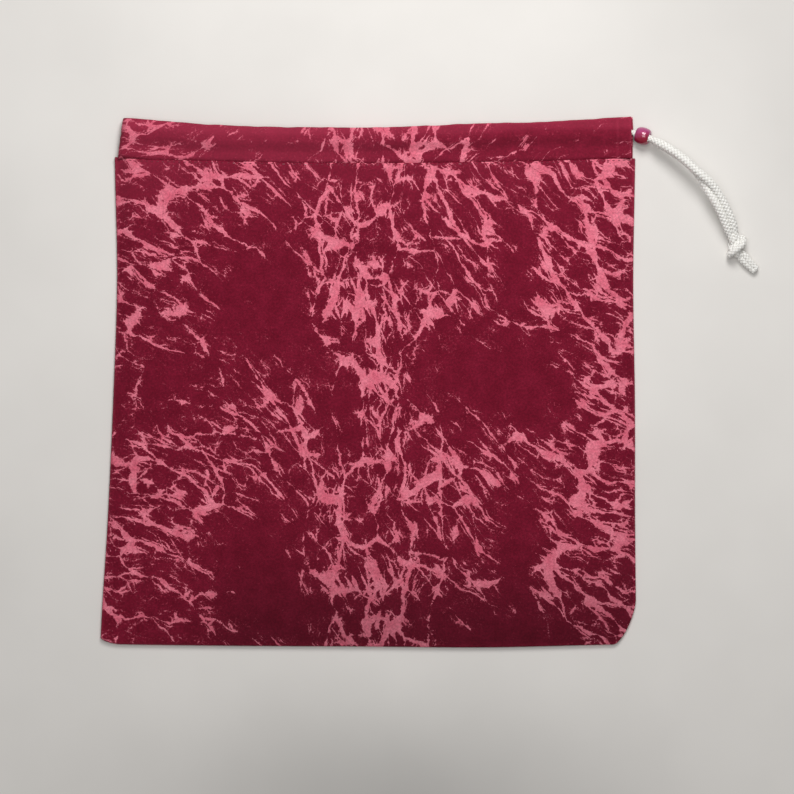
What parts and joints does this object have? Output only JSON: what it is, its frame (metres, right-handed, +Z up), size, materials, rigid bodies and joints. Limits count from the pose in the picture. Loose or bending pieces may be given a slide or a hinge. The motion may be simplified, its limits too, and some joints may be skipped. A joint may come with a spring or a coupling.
{
  "type": "drawstring bag",
  "caption": "Flat square drawstring bag of marbled cotton, lying empty, with a casing round its mouth, a doubled braided cord, a barrel bead and an overhand knot.",
  "frame": {"origin": "middle of the bag's box, on the surface that the bag lies on; the cord outside the casing is left out of the box", "axes": "+X along the mouth, towards the end that the cord leaves; +Y from the bottom seam to the mouth; +Z up, out of the front panel"},
  "size_m": [0.351, 0.2829, 0.0148],
  "materials": {
    "marbled_twill": "pressed cotton twill with a crimson and pink marbled print",
    "white_braid": "soft round braid with a slight sheen",
    "raspberry_pearl": "glossy translucent plastic with a pearl sheen"
  },
  "bodies": {
    "bag": {"back_panel": "marbled_twill", "front_panel": "marbled_twill", "casing_band": "marbled_twill", "drawstring_loop": "white_braid"},
    "cord": {"strand_front": "white_braid", "strand_back": "white_braid", "knot": "white_braid", "tail_front": "white_braid", "tail_back": "white_braid"},
    "bead": {"bead": "raspberry_pearl"}
  },
  "joints": [
    {"name": "cord_draw", "type": "slide", "parent": "bag", "child": "cord", "axis": [1, 0, 0], "range_m": [0, 0.035]},
    {"name": "bead_slide", "type": "hinge", "parent": "cord", "child": "bead", "pos_m": [0.13201, 0.06868, -0.02885], "axis": [0.4185, 0.3511, -0.8376], "range_deg": [0, 55], "deforming": ["strand_front", "strand_back"]}
  ]
}
